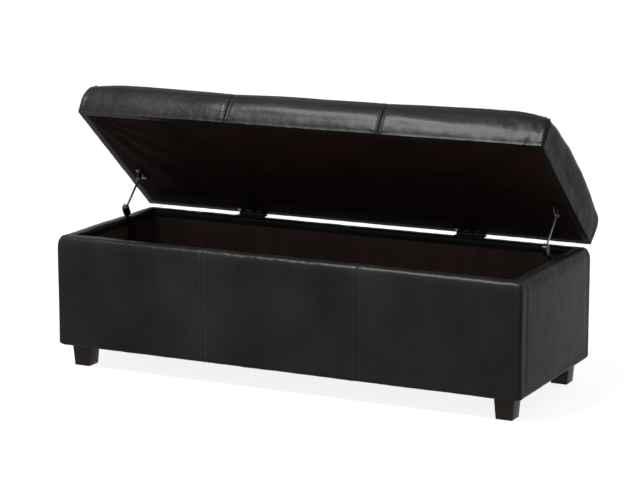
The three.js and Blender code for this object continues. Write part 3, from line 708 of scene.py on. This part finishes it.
waxed_thread = thread()
box_stitches = bmesh.new()
front_y, back_y = cover_low.y, cover_high.y
stitch_rows(box_stitches, box_tree,
            [Vector((0, front_y + wall - 0.004, rim_top)), Vector((0, front_y, rim_top)),
             Vector((0, front_y, box_bottom + 0.004))], (-seam_x, seam_x))
stitch_rows(box_stitches, box_tree,
            [Vector((0, back_y, box_bottom + 0.004)), Vector((0, back_y, rim_top)),
             Vector((0, back_y - wall + 0.004, rim_top))], (-seam_x, seam_x))
finished(box_stitches, "box_topstitching", waxed_thread, "cabinet")

lid_stitches = bmesh.new()
stitch_rows(lid_stitches, lid_tree,
            [Vector((0, lid_high.y, lid_low.z + 0.006)), Vector((0, lid_high.y, lid_edge_top)),
             Vector((0, lid_low.y, lid_edge_top)), Vector((0, lid_low.y, lid_low.z + 0.006))],
            (-seam_x, seam_x))
lid_stitches.transform(lid_to_row)
finished(lid_stitches, "lid_topstitching", waxed_thread, "lid")

# ---------------------------------------------------------------- lid lining
# Thin black non-woven cloth stapled under the lid frame. It hangs a little loose, with folds
# that run from the corners to the stay brackets and scallops between the staples.


def lining_cloth():
    material, place, surface = new_finish("black_lining")
    web = place.node("ShaderNodeTexNoise", Vector=place, Scale=420.0, Detail=5.0)
    dots = place.node("ShaderNodeTexVoronoi", Vector=place, Scale=520.0)
    # Broad lighter and darker patches in the colour are painted shade and highlight, standing in for the
    # light on the cloth's folds; the dark reddish tone is the cloth's own.
    shade = place.node("ShaderNodeTexNoise", Vector=place, Scale=9.0, Detail=3.0)
    bump = place.node("ShaderNodeBump", Strength=0.25, Distance=0.0005, Height=web + dots * 0.5)
    tone = blended(shade, (0.0012, 0.0003, 0.0002), (0.0100, 0.0036, 0.0022))
    connect(surface, Base_Color=tone, Roughness=0.92, Normal=bump, Specular_IOR_Level=0.05)
    return material


lining_finish = lining_cloth()
hang_low, hang_high = lid_box("lid_lining")
hang_size = hang_high - hang_low
bracket_low, bracket_high = lid_box("right_stay_lid_bracket")
staple_pitch = 0.062
lining_sag = 0.0042


def lining_hang(x, y):
    """How far the lining hangs below its staples."""
    from_edge = min(x - hang_low.x, hang_high.x - x, y - hang_low.y, hang_high.y - y)
    loose = share_of(from_edge, 0.05) ** 0.7
    run = noise.noise(Vector((x * 2.2, y * 7.0, 0.4))) * 0.5 + 0.5
    ripple = noise.noise(Vector((x * 5.0 + y * 16.0, y * 9.0 - x * 3.0, 2.6)))
    corner = Vector((hang_high.x - abs(x), y - hang_low.y))
    fan = math.sin(math.atan2(corner.y, corner.x + 0.001) * 17) * math.exp(-corner.length / 0.26)
    scallop = abs(math.sin(math.pi * x / staple_pitch)) * math.exp(-max(0.0, y - hang_low.y) / 0.030)
    keep_off = near(abs(x) - bracket_low.x, 0.05) * near(y - (bracket_low.y + bracket_high.y) / 2, 0.05)
    hang = 0.0010 * scallop * min(1.0, from_edge / 0.004)
    hang += loose * (lining_sag * (0.25 + 0.55 * run) + 0.0030 * ripple + 0.0034 * fan)
    return max(0.0, hang) * (1 - keep_off)


bm = bmesh.new()
bmesh.ops.create_grid(bm, x_segments=210, y_segments=76, size=0.5)
for vert in bm.verts:
    x = (hang_low.x + hang_high.x) / 2 + vert.co.x * hang_size.x
    y = (hang_low.y + hang_high.y) / 2 + vert.co.y * hang_size.y
    vert.co = Vector((x, y, hang_high.z - 0.0003 - lining_hang(x, y)))
bmesh.ops.reverse_faces(bm, faces=bm.faces)
bm.transform(lid_to_row)
lid_lining = finished(bm, "lid_lining_cloth", lining_finish, "lid", 80)
thickness = lid_lining.modifiers.new("thickness", "SOLIDIFY")
thickness.thickness = 0.0006
thickness.offset = -1
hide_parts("lid_lining")

# ---------------------------------------------------------------- well lining
# The storage well is lined with dark brown cloth, folded at the corners and stapled under the
# leather flap. It hangs in soft upright wrinkles on the long walls.


def well_cloth():
    material, place, surface = new_finish("brown_black_cloth")
    warp = place.node("ShaderNodeTexWave", Vector=place, Scale=520.0, Distortion=0.6)
    web = place.node("ShaderNodeTexNoise", Vector=place, Scale=360.0, Detail=4.0)
    # The upright streaks, lighter and darker, are painted shade and highlight standing in for the light on
    # the wrinkles; the brown tone is the cloth's own.
    upright = place.node("ShaderNodeMapping", Vector=place, Scale=(20, 20, 4))
    shade = place.node("ShaderNodeTexNoise", Vector=upright, Scale=1.0, Detail=4.0)
    bump = place.node("ShaderNodeBump", Strength=0.25, Distance=0.0005, Height=web + warp * 0.4)
    tone = blended(shade, (0.0050, 0.0022, 0.0018), (0.0340, 0.0165, 0.0120))
    connect(surface, Base_Color=tone, Roughness=0.85, Normal=bump, Specular_IOR_Level=0.2)
    return material


well_low, well_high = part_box("well_lining")
well_size = well_high - well_low
well_middle = (well_low + well_high) / 2
plate_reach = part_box("right_stay_base_plate")
deep_fold = 0.0070
fine_fold = 0.0014


def well_wall(bm, turn, length, distance, columns, rows):
    """One side of the lining as a grid stood on edge."""
    stood = Matrix.Rotation(turn, 4, "Z") @ Matrix.Translation((0, distance, 0)) @ Matrix.Rotation(
        math.pi / 2, 4, "X")
    made = bmesh.ops.create_grid(bm, x_segments=columns, y_segments=rows, size=0.5)["verts"]
    for vert in made:
        vert.co = Vector((vert.co.x * length, vert.co.y * well_size.z, 0))
    bmesh.ops.transform(bm, matrix=Matrix.Translation(well_middle) @ stood, verts=made)


def well_folds(point):
    """Wrinkles of the lining, measured inwards."""
    depth = min(1.0, (well_high.z - point.z) / 0.02) * min(1.0, (point.z - well_low.z) / 0.03)
    on_end = abs(point.x) > well_high.x - 0.002
    if on_end:
        along, corner = point.y, well_size.y / 2 - abs(point.y - well_middle.y)
    else:
        along, corner = point.x, abs(abs(point.x) - well_high.x)
    upright = noise.noise(Vector((along * 15, point.z * 3.0, 4.2 + point.y)))
    fine = noise.noise(Vector((along * 42, point.z * 7.0, 1.1)))
    amount = deep_fold * (upright * 0.5 + 0.5) ** 2 + fine_fold * (fine * 0.5 + 0.5)
    if on_end:
        amount *= 0.25 if point.y < plate_reach[0].y - 0.03 else 0.0
    return amount * depth * min(1.0, corner / 0.05)


bm = bmesh.new()
long_columns, short_columns, well_rows = 200, 66, 36
well_wall(bm, 0, well_size.x, well_size.y / 2, long_columns, well_rows)
well_wall(bm, math.pi, well_size.x, well_size.y / 2, long_columns, well_rows)
well_wall(bm, math.pi / 2, well_size.y, well_size.x / 2, short_columns, well_rows)
well_wall(bm, -math.pi / 2, well_size.y, well_size.x / 2, short_columns, well_rows)
base = bmesh.ops.create_grid(bm, x_segments=long_columns, y_segments=short_columns, size=0.5)["verts"]
for vert in base:
    vert.co = Vector((well_middle.x + vert.co.x * well_size.x, well_middle.y + vert.co.y * well_size.y,
                      well_low.z))
bmesh.ops.remove_doubles(bm, verts=bm.verts, dist=0.0005)
for vert in bm.verts:
    x_wall = abs(abs(vert.co.x) - well_high.x) < 0.0004
    y_wall = abs(abs(vert.co.y - well_middle.y) - well_size.y / 2) < 0.0004
    if vert.co.z > well_low.z + 0.001 and (x_wall or y_wall):
        inward = well_folds(vert.co)
        if y_wall and not x_wall:
            vert.co.y -= math.copysign(inward, vert.co.y - well_middle.y)
        elif x_wall and not y_wall:
            vert.co.x -= math.copysign(inward, vert.co.x)
    elif vert.co.z < well_low.z + 0.001:
        vert.co.z += 0.0006 * (soft(vert.co, 9.0, 2.0) + 1) * (0.0 if x_wall or y_wall else 1.0)
bmesh.ops.recalc_face_normals(bm, faces=bm.faces)
lowest = min(bm.faces, key=lambda face: face.calc_center_median().z)
if lowest.normal.z < 0:
    bmesh.ops.reverse_faces(bm, faces=bm.faces)
well_lining = finished(bm, "well_lining_cloth", well_cloth(), "cabinet", 60)
thickness = well_lining.modifiers.new("thickness", "SOLIDIFY")
thickness.thickness = 0.0008
thickness.offset = 1
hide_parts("well_lining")

# ---------------------------------------------------------------- dust cover
# Black non-woven cloth stapled under the base, cut round the four leg bolts, slack between staples.
dust_low, dust_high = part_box("dust_cover")
dust_size = dust_high - dust_low
leg_inner_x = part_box("front_right_leg")[0].x
bm = bmesh.new()
bmesh.ops.create_grid(bm, x_segments=120, y_segments=42, size=0.5)
for vert in bm.verts:
    x = vert.co.x * dust_size.x
    y = vert.co.y * dust_size.y
    clear = share_of(leg_inner_x - 0.004 - abs(x), 0.05)
    edge = share_of(dust_size.y / 2 - abs(y), 0.04)
    sag = clear * edge * 0.0030 * (0.6 + 0.5 * noise.noise(Vector((x * 6, y * 11, 8.1))))
    vert.co = Vector((x, (dust_low.y + dust_high.y) / 2 + y, dust_low.z + 0.0007 - sag))
bmesh.ops.reverse_faces(bm, faces=bm.faces)
dust_cover = finished(bm, "dust_cover_cloth", lining_finish, "cabinet", 80)
thickness = dust_cover.modifiers.new("thickness", "SOLIDIFY")
thickness.thickness = 0.0005
thickness.offset = -1
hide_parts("dust_cover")

# ---------------------------------------------------------------- legs
# Four tapered square feet of solid wood, eased at every edge and finished in espresso lacquer,
# each held by a hanger bolt into its corner block.


def espresso_lacquer():
    material, place, surface = new_finish("espresso_lacquer")
    stretched = place.node("ShaderNodeMapping", Vector=place, Scale=(60, 60, 5))
    grain = place.node("ShaderNodeTexNoise", Vector=stretched, Scale=3.0, Detail=6.0, Distortion=0.8)
    scuff = place.node("ShaderNodeTexNoise", Vector=place, Scale=45.0, Detail=2.0)
    bump = place.node("ShaderNodeBump", Strength=0.12, Distance=0.0004, Height=grain)
    tone = blended(grain, (0.0045, 0.0024, 0.0018), (0.0110, 0.0060, 0.0042))
    connect(surface, Base_Color=tone, Roughness=0.30 + scuff * 0.16, Normal=bump, Coat_Weight=0.06,
            Specular_IOR_Level=0.08)
    surface.inputs["Coat Roughness"].default_value = 0.2
    return material


def eased(node, name, radius, material, body, segments=2, turn_over=28):
    """A CAD piece with its sharp edges rounded as its maker would leave them."""
    bm = bmesh.new()
    bm.from_mesh(frame["nodes"][node].data)
    bmesh.ops.remove_doubles(bm, verts=bm.verts, dist=0.000002)
    bmesh.ops.dissolve_limit(bm, angle_limit=math.radians(1), verts=bm.verts, edges=bm.edges)
    sharp = [edge for edge in bm.edges
             if len(edge.link_faces) == 2 and edge.calc_face_angle(0) > math.radians(turn_over)]
    bmesh.ops.bevel(bm, geom=sharp, offset=radius, segments=segments, profile=0.5, affect="EDGES",
                    clamp_overlap=True, material=-1)
    bmesh.ops.triangulate(bm, faces=[face for face in bm.faces if len(face.verts) > 4])
    piece = finished(bm, name, material, body, 35)
    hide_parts(node)
    return piece


lacquer = espresso_lacquer()
for row in ("front", "back"):
    for side in ("left", "right"):
        eased(f"{row}_{side}_leg", f"{row}_{side}_foot", 0.0022, lacquer, "cabinet", 3)

# ---------------------------------------------------------------- hinges
# Two butt hinges of pressed steel with an oil-rubbed bronze finish: rolled knuckles on a plain
# pin, rounded leaves, and three screws in each leaf.


def bronzed_steel():
    material, place, surface = new_finish("oil_rubbed_bronze")
    patina = place.node("ShaderNodeTexNoise", Vector=place, Scale=60.0, Detail=5.0)
    rub = place.node("ShaderNodeTexNoise", Vector=place, Scale=260.0, Detail=3.0)
    tone = blended(patina, (0.014, 0.010, 0.008), (0.044, 0.032, 0.025))
    bump = place.node("ShaderNodeBump", Strength=0.08, Distance=0.0002, Height=rub)
    connect(surface, Base_Color=tone, Roughness=0.20 + patina * 0.14, Metallic=0.9, Normal=bump)
    return material


bronze = bronzed_steel()
for side in ("left", "right"):
    eased(f"{side}_hinge_box_leaf", f"{side}_hinge_lower_leaf", 0.00035, bronze, "cabinet")
    eased(f"{side}_hinge_lid_leaf", f"{side}_hinge_upper_leaf", 0.00035, bronze, "lid")
    eased(f"{side}_hinge_pin", f"{side}_hinge_rod", 0.0004, bronze, "cabinet")

# ---------------------------------------------------------------- lid stays
# A stay at each end holds the lid: a flat link on a screwed plate, a pressed elbow housing with
# bright rounded bends, and a thin arm riveted to a bracket under the lid.


def plated_steel(name, dark, light, rough):
    material, place, surface = new_finish(name)
    brushed = place.node("ShaderNodeMapping", Vector=place, Scale=(900, 120, 120))
    lines = place.node("ShaderNodeTexNoise", Vector=brushed, Scale=1.0, Detail=3.0)
    smudge = place.node("ShaderNodeTexNoise", Vector=place, Scale=35.0, Detail=3.0)
    bump = place.node("ShaderNodeBump", Strength=0.06, Distance=0.0002, Height=lines)
    connect(surface, Base_Color=blended(smudge, dark, light), Roughness=rough + smudge * 0.15,
            Metallic=0.9, Normal=bump)
    return material


stay_steel = plated_steel("dark_plated_steel", (0.10, 0.095, 0.09), (0.20, 0.19, 0.18), 0.24)
for side in ("left", "right"):
    eased(f"{side}_stay_base_plate", f"{side}_stay_plate", 0.0004, bronze, "cabinet")
    eased(f"{side}_stay_link", f"{side}_stay_elbow_link", 0.0006, bronze, f"{side}_link", 3)
    eased(f"{side}_stay_arm", f"{side}_stay_lifting_arm", 0.0005, stay_steel, f"{side}_arm")
    eased(f"{side}_stay_lid_bracket", f"{side}_stay_top_bracket", 0.0004, bronze, "lid")

# ---------------------------------------------------------------- leg bolts
# Zinc-plated hanger bolts between each leg and its corner block.
zinc = plated_steel("zinc_plate", (0.50, 0.50, 0.49), (0.66, 0.66, 0.65), 0.22)
for row in ("front", "back"):
    for side in ("left", "right"):
        node = frame["nodes"][f"{row}_{side}_leg_bolt"]
        node.data.materials.clear()
        node.data.materials.append(zinc)

# ---------------------------------------------------------------- timber frame
# Softwood rails, corner blocks and wall boards, glued and stapled; they show only where the
# covers are taken off.


def wood(name, early, late, ring_scale, rough):
    material, place, surface = new_finish(name)
    stretched = place.node("ShaderNodeMapping", Vector=place, Scale=(2.5, 30, 30))
    rings = place.node("ShaderNodeTexWave", Vector=stretched, Scale=ring_scale, Distortion=5.0, Detail=3.0)
    fibre = place.node("ShaderNodeTexNoise", Vector=stretched, Scale=9.0, Detail=6.0)
    bump = place.node("ShaderNodeBump", Strength=0.2, Distance=0.0006, Height=fibre)
    connect(surface, Base_Color=blended(rings * 0.6 + fibre * 0.4, early, late),
            Roughness=rough + fibre * 0.15, Normal=bump)
    return material


softwood = wood("sawn_softwood", (0.60, 0.44, 0.25), (0.40, 0.26, 0.13), 1.1, 0.7)
board_nodes = [f"{side}_{part}" for side in ("front", "back", "left", "right")
               for part in ("board", "base_rail")]
block_nodes = [f"{row}_{side}_corner_block" for row in ("front", "back") for side in ("left", "right")]
rail_nodes = [f"lid_{part}_rail" for part in ("front", "back", "left", "right", "left_cross", "right_cross")]
for node in board_nodes + block_nodes + rail_nodes:
    frame["nodes"][node].data.materials.clear()
    frame["nodes"][node].data.materials.append(softwood)

# ---------------------------------------------------------------- plywood
# The well's floor and the deck under the seat foam are sanded plywood.
plywood = wood("sanded_plywood", (0.64, 0.49, 0.30), (0.50, 0.36, 0.20), 0.5, 0.55)
for node in ("floor_board", "lid_deck"):
    frame["nodes"][node].data.materials.clear()
    frame["nodes"][node].data.materials.append(plywood)
